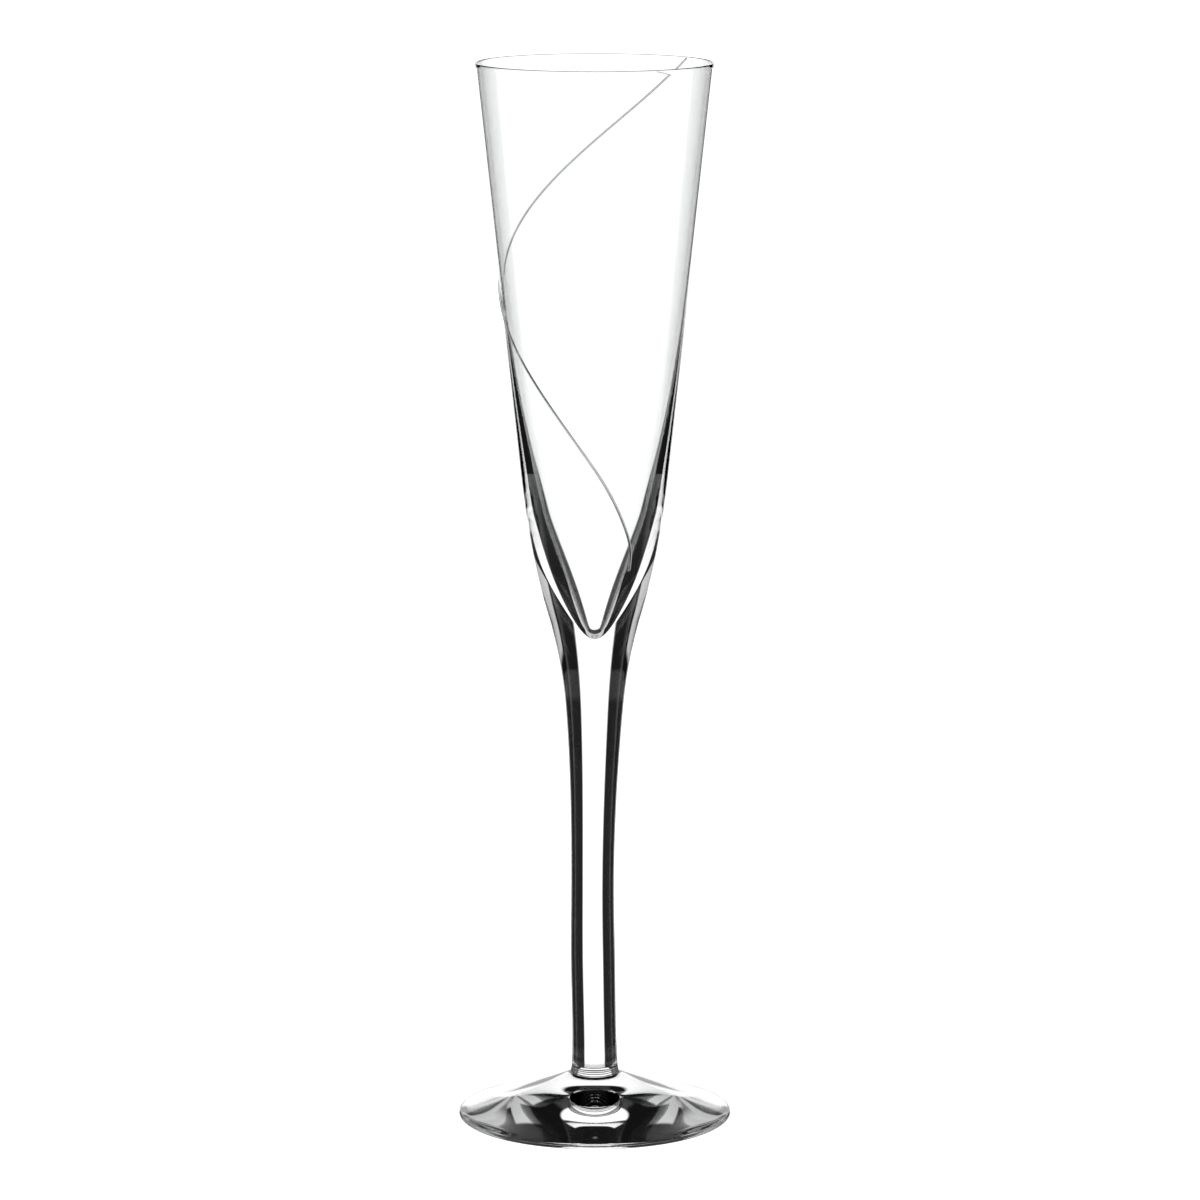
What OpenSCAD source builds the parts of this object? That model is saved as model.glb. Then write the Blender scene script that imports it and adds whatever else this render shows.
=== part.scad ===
// Champagne flute in clear glass, made hot from four pieces: bowl, stem, foot and a spiral thread.
// Millimetres, +Z up. The origin is the centre of the foot's resting ring, on the table.

/* [Overall] */
// Height from the table to the rim
flute_h = 270; // [255:1:285]

/* [Bowl] */
// Outside radius at the rim
rim_r = 29.9; // [28:0.1:32]
// Wall thickness at the rim
rim_wall = 0.6; // [0.4:0.1:1]
// Radius that the outside loses for each millimetre down its straight part
bowl_taper = 0.1085; // [0.1:0.0005:0.115]
// Length of the straight part of the outside, from the rim down
bowl_straight_h = 102; // [95:1:108]
// Length of the straight part of the inside, from the rim down
cavity_straight_h = 38; // [30:1:45]
// Radius that the inside loses for each millimetre down its straight part
cavity_taper = 0.1105; // [0.109:0.0005:0.113]
// Depth below the rim where the inside has begun to close in
cavity_mid_h = 70; // [65:1:75]
// Radius of the inside there
cavity_mid_r = 21.3; // [20.8:0.05:21.6]
// Radius that the inside loses for each millimetre there
cavity_mid_taper = 0.14; // [0.13:0.002:0.15]
// Depth below the rim where the inside closes in faster
cavity_knee_h = 112; // [108:1:116]
// Radius of the inside there
cavity_knee_r = 13.7; // [13.2:0.1:14.2]
// Radius that the inside loses for each millimetre there
cavity_knee_taper = 0.235; // [0.21:0.005:0.26]
// Radius of the inside where its lower cone meets the rounded tip
cavity_low_r = 4.5; // [3.5:0.1:5]
// Depth of that place below the rim
cavity_low_h = 137.5; // [134:0.5:139]
// Radius that the inside loses for each millimetre there
cavity_low_taper = 0.44; // [0.4:0.01:0.48]
// Depth of the cavity from the rim to its tip
cavity_h = 144.3; // [143:0.1:146]
// Glass below the cavity's tip that belongs to the bowl
base_wall = 2.9; // [2:0.1:4]

/* [Stem] */
// Depth below the rim of the edge where the stem's cup laps the bowl
lap_h = 120.5; // [118:0.5:123]
// Depth below the rim of the stem's shoulder
shoulder_h = 140; // [136:1:142]
// Radius of the shoulder
shoulder_r = 11.7; // [11:0.1:12.5]
// Radius that the shoulder loses for each millimetre down
shoulder_taper = 0.3; // [0.26:0.01:0.34]
// Depth below the rim of the neck, where the stem has become slim
neck_h = 163; // [158:1:170]
// Radius of the neck
neck_r = 7.38; // [6.9:0.02:7.9]
// Radius that the neck loses for each millimetre down
neck_taper = 0.085; // [0.06:0.005:0.1]
// Height of the waist, the thinnest place
waist_z = 60; // [52:1:70]
// Radius of the waist
waist_r = 5.5; // [5:0.1:6]
// Height of the slight swelling below the waist
swell_z = 40; // [36:1:46]
// Radius of the swelling
swell_r = 5.7; // [5.2:0.1:6.2]

/* [Foot] */
// Outside radius of the foot
foot_r = 34.9; // [32:0.1:38]
// Thickness of the foot's rounded edge
foot_edge_t = 1.35; // [1.1:0.05:1.8]
// Height of the foot where the stem stands on it
foot_h = 11.2; // [9.5:0.1:13]
// Radius of the join between stem and foot
foot_join_r = 6.3; // [6:0.1:7]
// Width of the flat ring that the foot rests on
foot_land_w = 1.6; // [1:0.1:3]
// Depth of the hollow under the foot
foot_hollow_h = 3.2; // [2:0.1:4]

/* [Thread] */
// Width of the thread along most of its length
thread_w = 0.5; // [0.4:0.05:0.9]
// Width of the thread's lower end
thread_end_w = 0.8; // [0.6:0.05:1.2]
// Height of the thread above the wall
thread_t = 0.45; // [0.35:0.05:0.7]
// Direction of the thread's upper end, counterclockwise from +X seen from above
thread_start_turn = 37.6; // [0:0.2:360]

/* [Hidden] */

clear_glass = [0.82, 0.88, 0.9, 0.45];
$fn = 96;

// Stations of the outside, from the rim down: height, radius, and radius lost per millimetre down
outside = [
    [flute_h, rim_r, bowl_taper],
    [flute_h - bowl_straight_h, rim_r - bowl_taper * bowl_straight_h, bowl_taper],
    [flute_h - shoulder_h, shoulder_r, shoulder_taper],
    [flute_h - neck_h, neck_r, neck_taper],
    [waist_z, waist_r, 0],
    [swell_z, swell_r, 0],
    [26, 5.64, 0],
    [15, 5.85, -0.04],
    [foot_h, foot_join_r, -0.35],
];

// Stations of the inside, from the rim down
inside_rim_r = rim_r - rim_wall;
inside = [
    [flute_h, inside_rim_r, cavity_taper],
    [flute_h - cavity_straight_h, inside_rim_r - cavity_taper * cavity_straight_h, cavity_taper],
    [flute_h - cavity_mid_h, cavity_mid_r, cavity_mid_taper],
    [flute_h - cavity_knee_h, cavity_knee_r, cavity_knee_taper],
    [flute_h - cavity_low_h, cavity_low_r, cavity_low_taper],
];

// Stations of the thread: depth below the rim, degrees turned from its upper end, degrees per millimetre
thread_course = [
    [0, 0, 2.3],
    [52, 127.4, 2.55],
    [100.7, 234.4, 2],
    [114, 257, 1.5],
    [123.5, 266.6, 0],
    [126.5, 266.6, 0],
];

lap_z = flute_h - lap_h;
tip_z = flute_h - cavity_h;
bowl_base_z = tip_z - base_wall;
rim_round_r = rim_wall / 2;

wall_steps = 6;
curve_steps = 14;
round_steps = 6;

// Cubic curve from value a with slope sa to value b with slope sb, over a span h, at share u
function blend(u, h, a, sa, b, sb) =
    (2 * pow(u, 3) - 3 * pow(u, 2) + 1) * a + (3 * pow(u, 2) - 2 * pow(u, 3)) * b
    + h * ((pow(u, 3) - 2 * pow(u, 2) + u) * sa + (pow(u, 3) - pow(u, 2)) * sb);

// Radius at height z on a list of stations that runs down
function radius_at(stations, z, i = 0) =
    z >= stations[i + 1][0] || i == len(stations) - 2
        ? blend((stations[i][0] - z) / (stations[i][0] - stations[i + 1][0]),
                stations[i][0] - stations[i + 1][0],
                stations[i][1], -stations[i][2], stations[i + 1][1], -stations[i + 1][2])
        : radius_at(stations, z, i + 1);

// Outline points on a list of stations between two heights, from the top down
function outline(stations, top, bottom, steps) =
    [for (i = [0 : steps]) let (z = top + (bottom - top) * i / steps) [radius_at(stations, z), z]];

function bezier(a, b, c, d, steps) =
    [for (i = [0 : steps]) let (u = i / steps, v = 1 - u)
        pow(v, 3) * a + 3 * pow(v, 2) * u * b + 3 * v * pow(u, 2) * c + pow(u, 3) * d];

function arc(centre, radius, from, to, steps) =
    [for (i = [0 : steps]) let (turn = from + (to - from) * i / steps)
        centre + radius * [cos(turn), sin(turn)]];

function reversed(points) = [for (i = [len(points) - 1 : -1 : 0]) points[i]];

// Bottom of the bowl inside the stem's cup, from the lap edge to the axis
lap_r = radius_at(outside, lap_z);
cup = bezier([lap_r, lap_z], [lap_r * 0.74, lap_z - 12.5], [lap_r * 0.37, bowl_base_z],
             [0, bowl_base_z], curve_steps);

// Rounded tip of the cavity, which carries on from its lower cone
cavity_low_z = flute_h - cavity_low_h;
tip_reach = 0.67 * (cavity_low_z - tip_z);
tip_curve = bezier([cavity_low_r, cavity_low_z],
                   [cavity_low_r - cavity_low_taper * tip_reach, cavity_low_z - tip_reach],
                   [cavity_low_r * 0.32, tip_z], [0, tip_z], round_steps);

// Fire-polished rim: a half round on the end of the wall
rim_lip = arc([rim_r - rim_round_r * (1 + bowl_taper), flute_h - rim_round_r], rim_round_r,
              -atan(bowl_taper), 180 - atan(cavity_taper), round_steps);

module bowl() {
    straight_z = flute_h - bowl_straight_h;
    inner_straight_z = flute_h - cavity_straight_h;
    color(clear_glass)
        rotate_extrude()
            polygon(concat(
                rim_lip,
                [[radius_at(inside, inner_straight_z), inner_straight_z]],
                outline(inside, inner_straight_z - 4, cavity_low_z, curve_steps),
                [for (i = [1 : round_steps]) tip_curve[i]],
                [for (i = [0 : curve_steps - 1]) reversed(cup)[i]],
                reversed(outline(outside, straight_z, lap_z, wall_steps))
            ));
}

module stem() {
    color(clear_glass)
        rotate_extrude()
            polygon(concat(
                reversed(cup),
                [for (i = [1 : 3 * curve_steps]) outline(outside, lap_z, foot_h, 3 * curve_steps)[i]],
                [[0, foot_h]]
            ));
}

module foot() {
    edge_r = foot_edge_t / 2;
    land_r = foot_r - edge_r;
    color(clear_glass)
        rotate_extrude()
            polygon(concat(
                [[0, foot_h]],
                bezier([foot_join_r, foot_h], [foot_join_r + 2.2, foot_h - 1.3],
                       [foot_r * 0.573, foot_h * 0.554], [land_r, foot_edge_t], wall_steps),
                arc([land_r, edge_r], edge_r, 60, -90, round_steps),
                bezier([land_r - foot_land_w, 0], [foot_r * 0.6, foot_hollow_h * 0.12],
                       [foot_r * 0.3, foot_hollow_h], [0, foot_hollow_h], wall_steps)
            ));
}

// Clearance that keeps the thread's flat facets off the curved wall
thread_gap = 0.015;
thread_rings = 90;
thread_sides = 9;
thread_top = 0.4;
// Share of its half width that the round thread has sunk into its flat base
thread_flat = 0.5;
thread_length = thread_course[len(thread_course) - 1][0] - thread_top;

// Degrees turned at a depth below the rim
function turned(depth, i = 0) =
    depth <= thread_course[i + 1][0] || i == len(thread_course) - 2
        ? blend((depth - thread_course[i][0]) / (thread_course[i + 1][0] - thread_course[i][0]),
                thread_course[i + 1][0] - thread_course[i][0],
                thread_course[i][1], thread_course[i][2],
                thread_course[i + 1][1], thread_course[i + 1][2])
        : turned(depth, i + 1);

// Point at a depth below the rim, a distance out of the wall
function on_wall(depth, out) =
    let (turn = thread_start_turn + turned(depth), z = flute_h - depth, r = radius_at(outside, z) + out)
        [r * cos(turn), r * sin(turn), z];

function unit(v) = v / norm(v);

// One section of the thread: a round that stands on a flat base
function thread_ring(i) =
    let (share = i / (thread_rings - 1), depth = thread_top + thread_length * share,
         w = thread_w + (thread_end_w - thread_w) * pow(share, 3),
         end_scale = share < 1 ? 1 : 0.5,
         here = on_wall(depth, thread_gap),
         along = unit(on_wall(depth + 0.2, thread_gap) - on_wall(depth - 0.2, thread_gap)),
         out = unit([here[0], here[1], norm([here[0], here[1]]) * bowl_taper * -1]),
         side = unit(cross(along, out)),
         base_turn = asin(thread_flat))
    [for (k = [0 : thread_sides - 1])
        let (turn = (180 + 2 * base_turn) * k / (thread_sides - 1) - base_turn,
             rise = (sin(turn) + thread_flat) / (1 + thread_flat))
        here + end_scale * (side * cos(turn) * w / 2 + out * rise * thread_t)];

module thread() {
    last = (thread_rings - 1) * thread_sides;
    color(clear_glass)
        polyhedron(
            points = [for (i = [0 : thread_rings - 1]) each thread_ring(i)],
            faces = concat(
                [[for (k = [0 : thread_sides - 1]) k]],
                [for (i = [0 : thread_rings - 2], k = [0 : thread_sides - 1])
                    let (a = i * thread_sides + k, b = i * thread_sides + (k + 1) % thread_sides)
                    each [[a, a + thread_sides, b], [b, a + thread_sides, b + thread_sides]]],
                [[for (k = [thread_sides - 1 : -1 : 0]) last + k]]
            ),
            convexity = 10);
}

bowl();
stem();
foot();
thread();
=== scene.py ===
# %% [markdown]
# # A champagne flute in clear glass
# The glass is made hot, in four gathers: a blown bowl, a drawn stem, a pressed foot and a thin thread
# of glass that winds once down the bowl. The CAD model gives each one its place and its size.
# This lesson turns them again as smooth surfaces that light can bend through.

# %% Load the frame
import math
import bpy
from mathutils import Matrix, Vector


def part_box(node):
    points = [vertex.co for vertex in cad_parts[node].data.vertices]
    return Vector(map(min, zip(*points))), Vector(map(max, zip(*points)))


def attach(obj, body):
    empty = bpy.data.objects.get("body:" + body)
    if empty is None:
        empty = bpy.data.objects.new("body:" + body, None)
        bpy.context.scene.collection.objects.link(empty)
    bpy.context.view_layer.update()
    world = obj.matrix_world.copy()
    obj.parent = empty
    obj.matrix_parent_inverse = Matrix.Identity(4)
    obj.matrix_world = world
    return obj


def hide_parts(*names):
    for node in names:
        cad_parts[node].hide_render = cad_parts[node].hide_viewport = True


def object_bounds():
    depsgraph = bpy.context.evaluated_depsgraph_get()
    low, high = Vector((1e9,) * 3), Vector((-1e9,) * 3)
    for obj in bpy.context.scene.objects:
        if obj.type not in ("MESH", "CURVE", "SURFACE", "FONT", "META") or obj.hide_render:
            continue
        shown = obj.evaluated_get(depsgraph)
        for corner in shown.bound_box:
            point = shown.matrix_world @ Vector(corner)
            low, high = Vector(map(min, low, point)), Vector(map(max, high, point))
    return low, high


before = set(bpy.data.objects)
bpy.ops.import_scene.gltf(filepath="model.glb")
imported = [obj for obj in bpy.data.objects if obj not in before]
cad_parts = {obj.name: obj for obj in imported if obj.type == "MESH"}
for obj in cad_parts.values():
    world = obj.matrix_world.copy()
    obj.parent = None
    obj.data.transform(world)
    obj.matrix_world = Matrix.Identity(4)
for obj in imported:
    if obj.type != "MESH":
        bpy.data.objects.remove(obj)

MM = 0.001
cad_low, cad_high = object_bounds()
flute_h = cad_high.z / MM
foot_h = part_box("foot")[1].z / MM
lap_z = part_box("stem")[1].z / MM
bowl_base_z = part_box("bowl")[0].z / MM
print(f"flute {flute_h:.1f} mm high, foot {foot_h:.1f}, stem's cup from {bowl_base_z:.1f} to {lap_z:.1f}")

# %% [markdown]
# # Driving sizes
# These are the sizes that the CAD model is drawn from, in millimetres. A turned shape needs few of
# them: a radius, a height and a slope wherever the outline changes its character. The curve between
# two such stations is a cubic, which a glassblower's tools would follow by eye.

# %% Driving sizes
RIM_R = 29.9
RIM_WALL = 0.6
BOWL_TAPER = 0.1085
BOWL_STRAIGHT_H = 102
CAVITY_STRAIGHT_H = 38
CAVITY_TAPER = 0.1105
CAVITY_MID_H, CAVITY_MID_R, CAVITY_MID_TAPER = 70, 21.3, 0.14
CAVITY_KNEE_H, CAVITY_KNEE_R, CAVITY_KNEE_TAPER = 112, 13.7, 0.235
CAVITY_LOW_H, CAVITY_LOW_R, CAVITY_LOW_TAPER = 137.5, 4.5, 0.44
CAVITY_H = 144.3
SHOULDER_H, SHOULDER_R, SHOULDER_TAPER = 140, 11.7, 0.3
NECK_H, NECK_R, NECK_TAPER = 163, 7.38, 0.085
WAIST_Z, WAIST_R = 60, 5.5
SWELL_Z, SWELL_R = 40, 5.7
FOOT_R = 34.9
FOOT_EDGE_T = 1.35
FOOT_JOIN_R = 6.3
FOOT_LAND_W = 1.6
FOOT_HOLLOW_H = 3.2

outside = [
    (flute_h, RIM_R, BOWL_TAPER),
    (flute_h - BOWL_STRAIGHT_H, RIM_R - BOWL_TAPER * BOWL_STRAIGHT_H, BOWL_TAPER),
    (flute_h - SHOULDER_H, SHOULDER_R, SHOULDER_TAPER),
    (flute_h - NECK_H, NECK_R, NECK_TAPER),
    (WAIST_Z, WAIST_R, 0),
    (SWELL_Z, SWELL_R, 0),
    (26, 5.64, 0),
    (15, 5.85, -0.04),
    (foot_h, FOOT_JOIN_R, -0.35),
]
inside_rim_r = RIM_R - RIM_WALL
inside = [
    (flute_h, inside_rim_r, CAVITY_TAPER),
    (flute_h - CAVITY_STRAIGHT_H, inside_rim_r - CAVITY_TAPER * CAVITY_STRAIGHT_H, CAVITY_TAPER),
    (flute_h - CAVITY_MID_H, CAVITY_MID_R, CAVITY_MID_TAPER),
    (flute_h - CAVITY_KNEE_H, CAVITY_KNEE_R, CAVITY_KNEE_TAPER),
    (flute_h - CAVITY_LOW_H, CAVITY_LOW_R, CAVITY_LOW_TAPER),
]


# %% Curves of an outline
def blend(share, span, start, start_slope, end, end_slope):
    """Cubic from start to end that leaves and arrives with the given slopes."""
    square, cube = share**2, share**3
    return (
        (2 * cube - 3 * square + 1) * start
        + (3 * square - 2 * cube) * end
        + span * ((cube - 2 * square + share) * start_slope + (cube - square) * end_slope)
    )


def radius_at(stations, z):
    """Radius at height z on stations that run down: height, radius, radius lost per millimetre."""
    for (top, top_r, top_taper), (low, low_r, low_taper) in zip(stations, stations[1:]):
        if z >= low:
            break
    return blend((top - z) / (top - low), top - low, top_r, -top_taper, low_r, -low_taper)


def wall(stations, top, bottom, steps):
    """Points of a wall from the top down."""
    heights = [top + (bottom - top) * i / steps for i in range(steps + 1)]
    return [(radius_at(stations, z), z) for z in heights]


def bezier(a, b, c, d, steps):
    points = []
    for i in range(steps + 1):
        u = i / steps
        v = 1 - u
        weights = (v**3, 3 * v**2 * u, 3 * v * u**2, u**3)
        points.append(tuple(sum(w * p[axis] for w, p in zip(weights, (a, b, c, d))) for axis in (0, 1)))
    return points


def arc(centre, radius, start, end, steps):
    turns = [math.radians(start + (end - start) * i / steps) for i in range(steps + 1)]
    return [(centre[0] + radius * math.cos(t), centre[1] + radius * math.sin(t)) for t in turns]


def joined(*stretches):
    """One outline from stretches, without the points where two of them meet twice."""
    points = [stretches[0][0]]
    for stretch in stretches:
        points += [p for p in stretch if math.dist(p, points[-1]) > 1e-4]
    return points


print(f"waist {2 * radius_at(outside, WAIST_Z):.1f} mm across")

# %% [markdown]
# # Helpers for node trees
# A node tree is easier to read as a formula than as a list of links. `Port` stands for one output
# socket, and Python's own operators on it add Math nodes, so `1 - mask` works. `Tree.add` makes any
# other node: its kind first, then its settings, then what goes into its sockets.


# %% Helpers for node trees
class Port:
    def __init__(self, tree, socket):
        self.tree, self.socket = tree, socket

    def maths(self, operation, *values):
        made = self.tree.add("ShaderNodeMath", {"operation": operation}, dict(enumerate(values)))
        return made["Value"]

    def __add__(self, other):
        return self.maths("ADD", self, other)

    def __radd__(self, other):
        return self.maths("ADD", other, self)

    def __sub__(self, other):
        return self.maths("SUBTRACT", self, other)

    def __rsub__(self, other):
        return self.maths("SUBTRACT", other, self)

    def __mul__(self, other):
        return self.maths("MULTIPLY", self, other)

    def __rmul__(self, other):
        return self.maths("MULTIPLY", other, self)

    def __truediv__(self, other):
        return self.maths("DIVIDE", self, other)

    def __mod__(self, other):
        return self.maths("MODULO", self, other)

    def __abs__(self):
        return self.maths("ABSOLUTE", self)

    def floor(self):
        return self.maths("FLOOR", self)


class Tree:
    def __init__(self, tree):
        self.tree = tree

    def add(self, kind, settings=None, sockets=None):
        """Adds a node and gives its live outputs by name."""
        node = self.tree.nodes.new(kind)
        for name, value in (settings or {}).items():
            setattr(node, name, value)
        for name, value in (sockets or {}).items():
            socket = self.input_of(node, name)
            if isinstance(value, Port):
                self.tree.links.new(value.socket, socket)
            else:
                socket.default_value = value
        return {s.name: Port(self, s) for s in node.outputs if s.enabled}

    @staticmethod
    def input_of(node, name):
        if isinstance(name, int):
            return node.inputs[name]
        return next(s for s in node.inputs if s.enabled and s.name == name)


def geometry_tree(name, inputs):
    """An empty Geometry Nodes tree with named inputs, and its input ports."""
    tree = bpy.data.node_groups.new(name, "GeometryNodeTree")
    tree.interface.new_socket("Geometry", in_out="INPUT", socket_type="NodeSocketGeometry")
    for label, kind in inputs.items():
        tree.interface.new_socket(label, in_out="INPUT", socket_type=kind)
    tree.interface.new_socket("Geometry", in_out="OUTPUT", socket_type="NodeSocketGeometry")
    return Tree(tree), Tree(tree).add("NodeGroupInput")


def line_object(name, places):
    """An object that is one open line through the places."""
    mesh = bpy.data.meshes.new(name)
    mesh.from_pydata(places, [(i, i + 1) for i in range(len(places) - 1)], [])
    line = bpy.data.objects.new(name, mesh)
    bpy.context.scene.collection.objects.link(line)
    return line


def mark(line, name, kind, values):
    """Gives each point of a line a named value."""
    attribute = line.data.attributes.new(name, kind, "POINT")
    field = "vector" if kind == "FLOAT_VECTOR" else "value"
    for i, value in enumerate(values):
        setattr(attribute.data[i], field, value)


def drop_empty_slot(mesh):
    """A grid is born with an empty material slot. This takes it away."""
    if mesh.materials[0] is None:
        numbers = [face.material_index - 1 for face in mesh.polygons]
        mesh.materials.pop(index=0)
        mesh.polygons.foreach_set("material_index", numbers)


def run_tree(obj, tree, values):
    """Sets the tree's inputs on obj, then keeps the result as a plain mesh."""
    modifier = obj.modifiers.new("Nodes", "NODES")
    modifier.node_group = tree
    identifiers = {s.name: s.identifier for s in tree.interface.items_tree if s.in_out == "INPUT"}
    for label, value in values.items():
        modifier[identifiers[label]] = value
    evaluated = obj.evaluated_get(bpy.context.evaluated_depsgraph_get())
    mesh = bpy.data.meshes.new_from_object(evaluated)
    obj.modifiers.remove(modifier)
    mesh.name = obj.name
    obj.data = mesh
    drop_empty_slot(mesh)
    mesh.calc_loop_triangles()
    print(f"{obj.name}: {len(mesh.vertices)} points, {len(mesh.loop_triangles)} triangles")
    return obj


# %% [markdown]
# # Clear glass
# Soda glass bends light by an index of about 1.52, and a fire-polished skin has no grain. What tells
# it from a computed surface is that it was never perfectly even: the skin wanders by a few hundredths
# of a millimetre over a centimetre or two, which makes the dark edges flow. A Bump node fed by one
# soft noise does that. Roughness stays almost nothing and drifts a little with a second noise.
# The thread is the same glass with a little grey in it: quite clear, so fine a line hardly shows.


# %% Clear glass
def glass(name, index, tint, wander, grain):
    """Clear glass with a wandering skin: wander in millimetres of relief, grain in waves per metre."""
    material = bpy.data.materials.new(name)
    material.use_nodes = True
    material.node_tree.nodes.clear()
    tree = Tree(material.node_tree)
    place = tree.add("ShaderNodeTexCoord")["Object"]
    long_axis = tree.add("ShaderNodeMapping", {}, {"Vector": place, "Scale": (1, 1, 0.35)})["Vector"]
    swell = tree.add(
        "ShaderNodeTexNoise", {}, {"Vector": long_axis, "Scale": grain, "Detail": 1, "Roughness": 0.4}
    )["Fac"]
    breath = tree.add(
        "ShaderNodeTexNoise", {}, {"Vector": place, "Scale": grain / 2, "Detail": 2, "Roughness": 0.5}
    )["Fac"]
    normal = tree.add(
        "ShaderNodeBump", {}, {"Strength": 1, "Distance": wander * MM, "Height": swell}
    )["Normal"]
    shader = tree.add(
        "ShaderNodeBsdfPrincipled",
        {},
        {
            "Base Color": tint,
            "Roughness": breath * 0.01,
            "IOR": index,
            "Transmission Weight": 1,
            "Normal": normal,
        },
    )["BSDF"]
    tree.add("ShaderNodeOutputMaterial", {}, {"Surface": shader})
    return material


def welded_joint():
    """Where two gathers are welded there is no surface any more, so light passes straight on."""
    material = bpy.data.materials.new("welded_joint")
    material.use_nodes = True
    material.node_tree.nodes.clear()
    tree = Tree(material.node_tree)
    clear = tree.add("ShaderNodeBsdfTransparent", {}, {"Color": (1, 1, 1, 1)})["BSDF"]
    tree.add("ShaderNodeOutputMaterial", {}, {"Surface": clear})
    return material


SODA_INDEX = 1.52
CLEAR = (0.985, 0.99, 0.99, 1)
SMOKE = (0.6, 0.61, 0.62, 1)
bowl_glass = glass("bowl_glass", SODA_INDEX, CLEAR, 0.03, 45)
stem_glass = glass("stem_glass", SODA_INDEX, CLEAR, 0.03, 45)
foot_glass = glass("foot_glass", SODA_INDEX, CLEAR, 0.02, 45)
thread_glass = glass("thread_glass", SODA_INDEX, SMOKE, 0.005, 300)
weld = welded_joint()
print("materials:", [m.name for m in bpy.data.materials])

# %% [markdown]
# # Turned pieces
# Bowl, stem and foot are surfaces of revolution: every point of an outline goes once round the axis.
# The Spin tool could do it, but one Geometry Nodes tree states the rule and serves all three. It lays
# a grid with one column for each step of the turn and one row for each point of the outline, moves
# each grid point to where the rule puts it, and merges the seam and the two poles. Points of the
# outline carry three marks: `weld` where the piece is welded to its neighbour, `crease` where the
# skin meets that weld, and `lean`, how far the hand-drawn axis has wandered sideways there.


# %% A tree that turns an outline
def turning_tree():
    tree, given = geometry_tree(
        "turn_outline",
        {
            "Steps": "NodeSocketInt",
            "Merge": "NodeSocketFloat",
            "Glass": "NodeSocketMaterial",
            "Weld": "NodeSocketMaterial",
        },
    )
    outline = given["Geometry"]
    count = tree.add("GeometryNodeAttributeDomainSize", {"component": "MESH"}, {"Geometry": outline})
    rows = count["Point Count"]
    grid = tree.add(
        "GeometryNodeMeshGrid",
        {},
        {"Size X": 1, "Size Y": 1, "Vertices X": given["Steps"] + 1, "Vertices Y": rows},
    )["Mesh"]
    index = tree.add("GeometryNodeInputIndex")["Index"]
    row = index % rows
    angle = (index / rows).floor() / given["Steps"] * (2 * math.pi)

    def from_outline(kind, value):
        made = tree.add(
            "GeometryNodeSampleIndex",
            {"data_type": kind, "domain": "POINT"},
            {"Geometry": outline, "Value": value, "Index": row},
        )
        return made["Value"]

    def named(kind, name):
        return tree.add("GeometryNodeInputNamedAttribute", {"data_type": kind}, {"Name": name})["Attribute"]

    def kept(mesh, kind, name, value):
        return tree.add(
            "GeometryNodeStoreNamedAttribute",
            {"data_type": kind, "domain": "POINT"},
            {"Geometry": mesh, "Name": name, "Value": value},
        )["Geometry"]

    grid = kept(grid, "BOOLEAN", "weld", from_outline("BOOLEAN", named("BOOLEAN", "weld")))
    grid = kept(grid, "BOOLEAN", "crease", from_outline("BOOLEAN", named("BOOLEAN", "crease")))
    lean = from_outline("FLOAT_VECTOR", named("FLOAT_VECTOR", "lean"))
    place = from_outline("FLOAT_VECTOR", tree.add("GeometryNodeInputPosition")["Position"])
    turned = tree.add(
        "ShaderNodeVectorRotate", {"rotation_type": "Z_AXIS"}, {"Vector": place, "Angle": angle}
    )["Vector"]
    moved = tree.add("ShaderNodeVectorMath", {"operation": "ADD"}, {0: turned, 1: lean})["Vector"]
    mesh = tree.add("GeometryNodeSetPosition", {}, {"Geometry": grid, "Position": moved})["Geometry"]
    mesh = tree.add(
        "GeometryNodeMergeByDistance", {}, {"Geometry": mesh, "Distance": given["Merge"]}
    )["Geometry"]
    mesh = tree.add("GeometryNodeSetShadeSmooth", {"domain": "FACE"}, {"Geometry": mesh})["Geometry"]
    mesh = tree.add(
        "GeometryNodeSetShadeSmooth",
        {"domain": "EDGE"},
        {"Geometry": mesh, "Selection": named("BOOLEAN", "crease"), "Shade Smooth": False},
    )["Geometry"]
    mesh = tree.add("GeometryNodeFlipFaces", {}, {"Mesh": mesh})["Mesh"]
    mesh = tree.add("GeometryNodeRealizeInstances", {}, {"Geometry": mesh})["Geometry"]
    mesh = tree.add("GeometryNodeSetMaterial", {}, {"Geometry": mesh, "Material": given["Glass"]})["Geometry"]
    mesh = tree.add(
        "GeometryNodeSetMaterial",
        {},
        {"Geometry": mesh, "Selection": named("BOOLEAN", "weld"), "Material": given["Weld"]},
    )["Geometry"]
    tree.add("NodeGroupOutput", {}, {"Geometry": mesh})
    return tree.tree


turn_outline = turning_tree()
print("turn_outline has", len(turn_outline.nodes), "nodes")

# %% [markdown]
# # The wandering axis
# A stem is drawn out of the bowl's base while the glass is soft, and the hand that draws it isn't a
# lathe: halfway down, the axis stands about half a millimetre to one side. Both ends are true, because
# they are set against the bowl and the foot. A squared sine over that stretch has no kink at its ends.

# %% Outlines become turned pieces
STEM_LEAN = 0.55
LEAN_TOP = 118
TURN_STEPS = 192
MERGE_DISTANCE = 1e-6
CREASE_STEP = 0.02


def lean_at(z):
    """Sideways wander of the axis at height z, towards -X."""
    share = (z - foot_h) / (LEAN_TOP - foot_h)
    if not 0 < share < 1:
        return 0
    return -STEM_LEAN * math.sin(math.pi * share**0.8) ** 2


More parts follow.
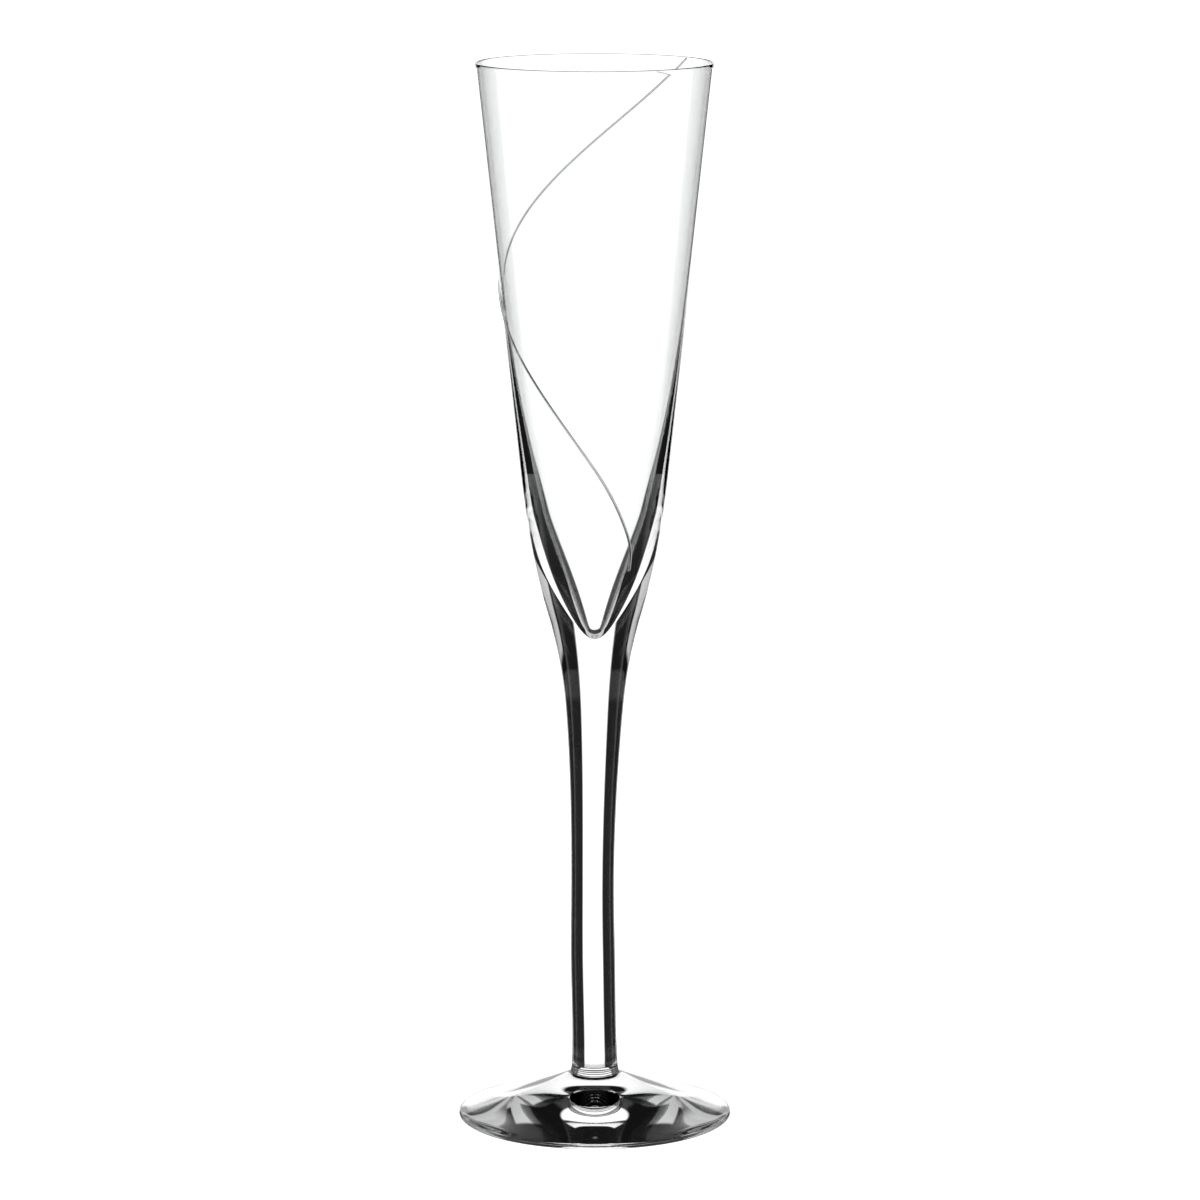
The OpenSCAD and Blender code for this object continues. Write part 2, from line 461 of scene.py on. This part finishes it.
def turned_piece(name, points, welds, creases, finish):
    """Turns an outline that runs from the axis back to the axis."""
    piece = line_object(name, [(r * MM, 0, z * MM) for r, z in points])
    mark(piece, "weld", "BOOLEAN", [point in welds for point in points])
    mark(piece, "crease", "BOOLEAN", [point in creases for point in points])
    mark(piece, "lean", "FLOAT_VECTOR", [(lean_at(z) * MM, 0, 0) for _, z in points])
    inputs = {"Steps": TURN_STEPS, "Merge": MERGE_DISTANCE, "Glass": finish, "Weld": weld}
    run_tree(piece, turn_outline, inputs)
    for used in ("weld", "crease"):
        piece.data.attributes.remove(piece.data.attributes[used])
    return piece


# %% [markdown]
# # The cup between bowl and stem
# The bowl's closed bottom sits in a cup of the stem's glass. The line where they meet can hardly be
# found on the finished flute, because hot glass welds to itself. Both pieces use the same curve, so
# they meet face to face, and both give it the weld's material.

# %% The cup and the bowl
lap_r = radius_at(outside, lap_z)
cup = bezier(
    (lap_r, lap_z), (lap_r * 0.74, lap_z - 12.5), (lap_r * 0.37, bowl_base_z), (0, bowl_base_z), 24
)
tip_z = flute_h - CAVITY_H
cavity_low_z = flute_h - CAVITY_LOW_H
tip_reach = 0.67 * (cavity_low_z - tip_z)
cavity_tip = bezier(
    (CAVITY_LOW_R, cavity_low_z),
    (CAVITY_LOW_R - CAVITY_LOW_TAPER * tip_reach, cavity_low_z - tip_reach),
    (CAVITY_LOW_R * 0.32, tip_z),
    (0, tip_z),
    14,
)
rim_round_r = RIM_WALL / 2
rim_centre = (RIM_R - rim_round_r * (1 + BOWL_TAPER), flute_h - rim_round_r)
rim_angles = (180 - math.degrees(math.atan(CAVITY_TAPER)), -math.degrees(math.atan(BOWL_TAPER)))
rim = arc(rim_centre, rim_round_r, *rim_angles, 12)

bowl_outline = joined(
    cavity_tip[::-1],
    wall(inside, rim[0][1] - 1, cavity_low_z, 150)[::-1],
    rim,
    wall(outside, rim[-1][1] - 1, lap_z + CREASE_STEP, 150),
    cup,
)
bowl = turned_piece("bowl_shell", bowl_outline, cup, cup[:1], bowl_glass)

# %% [markdown]
# # The stem and the foot
# The stem leaves the cup as a funnel, narrows to a waist and swells a little above the foot. The foot
# is a low cone, gathered on the stem's end and pressed out: its edge is a full round, and below it is
# hollow, so that it stands on a narrow ring and never rocks.

# %% The stem and the foot
stem_wall = joined(
    cup[:1],
    wall(outside, lap_z - CREASE_STEP, foot_h + CREASE_STEP, 230),
    [(FOOT_JOIN_R, foot_h)],
)
stem_end = (0, foot_h)
stem_outline = joined(cup[::-1], stem_wall, [stem_end])
stem_welds = cup + [stem_wall[-1], stem_end]
stem_creases = [cup[0], stem_wall[-1]]
stem = turned_piece("stem_drawn", stem_outline, stem_welds, stem_creases, stem_glass)

edge_r = FOOT_EDGE_T / 2
land_r = FOOT_R - edge_r
foot_top = bezier(
    (FOOT_JOIN_R, foot_h),
    (FOOT_JOIN_R + 2.2, foot_h - 1.3),
    (FOOT_R * 0.573, foot_h * 0.554),
    (land_r, FOOT_EDGE_T),
    60,
)
foot_edge = arc((land_r, edge_r), edge_r, 60, -90, 14)
foot_under = bezier(
    (land_r - FOOT_LAND_W, 0),
    (FOOT_R * 0.6, FOOT_HOLLOW_H * 0.12),
    (FOOT_R * 0.3, FOOT_HOLLOW_H),
    (0, FOOT_HOLLOW_H),
    60,
)
foot_outline = joined([stem_end], foot_top, foot_edge, foot_under)
foot = turned_piece("foot_pressed", foot_outline, [stem_end, foot_top[0]], foot_top[:1], foot_glass)

# %% [markdown]
# # The thread
# A thin gather is laid on the turning bowl while the maker draws it away, so it winds steeply and
# follows the wall. A Geometry Nodes tree sweeps a round section with a flat base along it. The course is a
# line of points that carry what the section needs there: which way is out of the wall, which way is
# across the thread, how wide it is and how high it stands.

# %% The thread's course
THREAD_W = 0.5
THREAD_END_W = 0.8
THREAD_T = 0.45
THREAD_FLAT = 0.5
THREAD_GAP = 0.015
THREAD_TOP = 0.4
THREAD_START_TURN = 37.6
THREAD_RINGS = 500
THREAD_SIDES = 16

# Depth below the rim, degrees turned from the upper end, degrees per millimetre
thread_course = [
    (0, 0, 2.3),
    (52, 127.4, 2.55),
    (100.7, 234.4, 2),
    (114, 257, 1.5),
    (123.5, 266.6, 0),
    (126.5, 266.6, 0),
]


def turned_at(depth):
    """Degrees that the thread has turned at a depth below the rim."""
    for (top, start, start_rate), (low, end, end_rate) in zip(thread_course, thread_course[1:]):
        if depth <= low:
            break
    return blend((depth - top) / (low - top), low - top, start, start_rate, end, end_rate)


def on_wall(depth):
    """Place just off the wall at a depth below the rim, in millimetres."""
    turn = math.radians(THREAD_START_TURN + turned_at(depth))
    radius = radius_at(outside, flute_h - depth) + THREAD_GAP
    return Vector((radius * math.cos(turn), radius * math.sin(turn), flute_h - depth))


# %% A tree that sweeps a section
def sweeping_tree():
    tree, given = geometry_tree(
        "sweep_section",
        {"Sides": "NodeSocketInt", "Merge": "NodeSocketFloat", "Glass": "NodeSocketMaterial"},
    )
    course = given["Geometry"]
    count = tree.add("GeometryNodeAttributeDomainSize", {"component": "MESH"}, {"Geometry": course})
    grid = tree.add(
        "GeometryNodeMeshGrid",
        {},
        {"Size X": 1, "Size Y": 1, "Vertices X": count["Point Count"], "Vertices Y": given["Sides"] + 1},
    )["Mesh"]
    index = tree.add("GeometryNodeInputIndex")["Index"]
    corners = given["Sides"] + 1
    ring = (index / corners).floor()
    turn = index % corners / given["Sides"] * (2 * math.pi)

    def along(value):
        return tree.add(
            "GeometryNodeSampleIndex",
            {"data_type": "FLOAT_VECTOR", "domain": "POINT"},
            {"Geometry": course, "Value": value, "Index": ring},
        )["Value"]

    def named(name):
        return tree.add(
            "GeometryNodeInputNamedAttribute", {"data_type": "FLOAT_VECTOR"}, {"Name": name}
        )["Attribute"]

    def scaled(vector, amount):
        return tree.add(
            "ShaderNodeVectorMath", {"operation": "SCALE"}, {"Vector": vector, "Scale": amount}
        )["Vector"]

    def plus(first, second):
        return tree.add("ShaderNodeVectorMath", {"operation": "ADD"}, {0: first, 1: second})["Vector"]

    place = along(tree.add("GeometryNodeInputPosition")["Position"])
    across = scaled(along(named("across")), turn.maths("COSINE", turn))
    height = (turn.maths("MAXIMUM", turn.maths("SINE", turn), -THREAD_FLAT) + THREAD_FLAT) / (1 + THREAD_FLAT)
    moved = plus(place, plus(across, scaled(along(named("up")), height)))
    mesh = tree.add("GeometryNodeSetPosition", {}, {"Geometry": grid, "Position": moved})["Geometry"]
    mesh = tree.add(
        "GeometryNodeMergeByDistance", {}, {"Geometry": mesh, "Distance": given["Merge"]}
    )["Geometry"]
    mesh = tree.add("GeometryNodeSetShadeSmooth", {"domain": "FACE"}, {"Geometry": mesh})["Geometry"]
    mesh = tree.add("GeometryNodeRealizeInstances", {}, {"Geometry": mesh})["Geometry"]
    mesh = tree.add("GeometryNodeSetMaterial", {}, {"Geometry": mesh, "Material": given["Glass"]})["Geometry"]
    tree.add("NodeGroupOutput", {}, {"Geometry": mesh})
    return tree.tree


sweep_section = sweeping_tree()
print("sweep_section has", len(sweep_section.nodes), "nodes")

# %% The thread
thread_length = thread_course[-1][0] - THREAD_TOP
rings = []
for i in range(THREAD_RINGS):
    share = i / (THREAD_RINGS - 1)
    depth = THREAD_TOP + thread_length * share
    here = on_wall(depth)
    forward = (on_wall(depth + 0.2) - on_wall(depth - 0.2)).normalized()
    out = Vector((here.x, here.y, Vector((here.x, here.y)).length * BOWL_TAPER)).normalized()
    across = forward.cross(out).normalized()
    width = THREAD_W + (THREAD_END_W - THREAD_W) * share**3
    end_round = math.sqrt(max(0, 1 - max(0, 1 - min(share, 1 - share) * thread_length / THREAD_W) ** 2))
    rings.append((here, across * width / 2 * end_round, out * THREAD_T * end_round))
thread = line_object("thread_wound", [here * MM for here, _, _ in rings])
mark(thread, "across", "FLOAT_VECTOR", [across * MM for _, across, _ in rings])
mark(thread, "up", "FLOAT_VECTOR", [up * MM for _, _, up in rings])
run_tree(thread, sweep_section, {"Sides": THREAD_SIDES, "Merge": MERGE_DISTANCE, "Glass": thread_glass})

# %% [markdown]
# # Pieces for the frame
# Each turned piece stands for the CAD node of the same name and rides on the flute's one body.

# %% Pieces for the frame
for piece, node in ((bowl, "bowl"), (stem, "stem"), (foot, "foot"), (thread, "thread")):
    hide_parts(node)
    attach(piece, "root")

# %% [markdown]
# # The floor
# The flute stands on a sheet of clear acrylic with a light bloom of dust on it. A solid floor would
# turn mid-grey in this room, and it would hide the white screen behind the stem's base.

# %% The floor
FLOOR_HALF = 0.6
FLOOR_DROP = 0.1
FLOOR_BLOOM = 0.03

corners = [(-1, -1), (1, -1), (1, 1), (-1, 1)]
floor_mesh = bpy.data.meshes.new("floor")
places = [(x * FLOOR_HALF, y * FLOOR_HALF, -FLOOR_DROP * MM) for x, y in corners]
floor_mesh.from_pydata(places, [], [(0, 1, 2, 3)])
floor = bpy.data.objects.new("floor", floor_mesh)
bpy.context.scene.collection.objects.link(floor)

acrylic = bpy.data.materials.new("dusty_acrylic")
acrylic.use_nodes = True
acrylic.node_tree.nodes.clear()
sheet = Tree(acrylic.node_tree)
clear = sheet.add("ShaderNodeBsdfTransparent", {}, {"Color": (1, 1, 1, 1)})["BSDF"]
bloom = sheet.add("ShaderNodeBsdfDiffuse", {}, {"Color": (0.9, 0.9, 0.88, 1)})["BSDF"]
place = sheet.add("ShaderNodeTexCoord")["Object"]
cloud = sheet.add("ShaderNodeTexNoise", {}, {"Vector": place, "Scale": 6, "Detail": 3})["Fac"]
dust = (0.7 + cloud * 0.6) * FLOOR_BLOOM
mixed = sheet.add("ShaderNodeMixShader", {}, {0: dust, 1: clear, 2: bloom})["Shader"]
sheet.add("ShaderNodeOutputMaterial", {}, {"Surface": mixed})
floor_mesh.materials.append(acrylic)
print("floor", 2 * FLOOR_HALF, "m wide")

# %% [markdown]
# # The room
# Clear glass shows its room and nothing else. Photographers light it with a bright field: a white
# screen behind the glass and dark flags beside it. Light that passes near the axis comes from the
# screen and stays white. Light that passes near an edge is bent further than the screen reaches, so
# every edge is drawn as a dark line. Pale walls further round and higher up light the sides of the
# foot, and the back of the room is dim, so that little is mirrored in the stem. One world shader
# holds all of it as a formula of bearing and height in degrees, and every number is an edge or a glow.

# %% The room
SCREEN_HALF = 19.5
SCREEN_LOW, SCREEN_TOP = -32, 18
SCREEN_GLOW = 1.3
WALLS_HALF = 47
FLAG_HALF = 68
FLAG_TOP = 8
CEILING = 32
GROUND = -60
ROOM_GLOW = 0.68
BACK_HALF = 80
BACK_LOW, BACK_TOP = -42, 12
BACK_GLOW = 0.1
DARK = 0.006

room = bpy.data.worlds.new("room")
bpy.context.scene.world = room
room.use_nodes = True
room.node_tree.nodes.clear()
sky = Tree(room.node_tree)
direction = sky.add("ShaderNodeTexCoord")["Generated"]
split = sky.add("ShaderNodeSeparateXYZ", {}, {"Vector": direction})
bearing = abs(split["X"].maths("ARCTAN2", split["X"], split["Y"]) * (180 / math.pi))
height = split["Z"].maths("ARCSINE", split["Z"]) * (180 / math.pi)


def above(value, edge, soft=1.5):
    """1 where value is above the edge, 0 below it, with a soft step between."""
    return sky.add(
        "ShaderNodeMapRange",
        {"interpolation_type": "SMOOTHSTEP"},
        {"Value": value, "From Min": edge - soft, "From Max": edge + soft},
    )["Result"]


screen = (1 - above(bearing, SCREEN_HALF)) * above(height, SCREEN_LOW) * (1 - above(height, SCREEN_TOP))
flag = (1 - above(bearing, FLAG_HALF)) * (1 - above(height, FLAG_TOP))
back = above(bearing, BACK_HALF, 8) * above(height, BACK_LOW, 3) * (1 - above(height, BACK_TOP, 3))
walls = above(bearing, WALLS_HALF) * (1 - above(height, CEILING)) * (1 - flag) * (1 - back)
ground = 1 - above(height, GROUND)
strength = screen * SCREEN_GLOW
strength = strength.maths("MAXIMUM", strength, walls * ROOM_GLOW)
strength = strength.maths("MAXIMUM", strength, back * BACK_GLOW)
strength = strength.maths("MAXIMUM", strength, ground * ROOM_GLOW)
strength = strength.maths("MAXIMUM", strength, DARK)
glow = sky.add("ShaderNodeBackground", {}, {"Color": (1, 1, 1, 1), "Strength": strength})["Background"]
sky.add("ShaderNodeOutputWorld", {}, {"Surface": glow})

print("room has", len(room.node_tree.nodes), "nodes")

# %% [markdown]
# # The camera
# It stands five heights away and looks ten degrees down, with a long lens, so that the rim and the
# foot show as thin ellipses and the sides stay nearly parallel.

# %% The camera
CAMERA_LENS = 163.1
CAMERA_SIDE = 1.35
CAMERA_BACK, CAMERA_UP = 5.02, 1.3825
CAMERA_PITCH = 10.007
BOUNCES = 32

camera_data = bpy.data.cameras.new("camera")
camera_data.lens = CAMERA_LENS
camera_data.sensor_width = 36
camera = bpy.data.objects.new("camera", camera_data)
bpy.context.scene.collection.objects.link(camera)
camera.location = (CAMERA_SIDE * MM, -CAMERA_BACK * flute_h * MM, CAMERA_UP * flute_h * MM)
camera.rotation_euler = (math.radians(90 - CAMERA_PITCH), 0, 0)
bpy.context.scene.camera = camera

scene = bpy.context.scene
scene.view_settings.view_transform = "Standard"
scene.cycles.max_bounces = BOUNCES
scene.cycles.transmission_bounces = BOUNCES
scene.cycles.glossy_bounces = BOUNCES // 2
scene.cycles.transparent_max_bounces = BOUNCES
scene.cycles.sample_clamp_indirect = 0
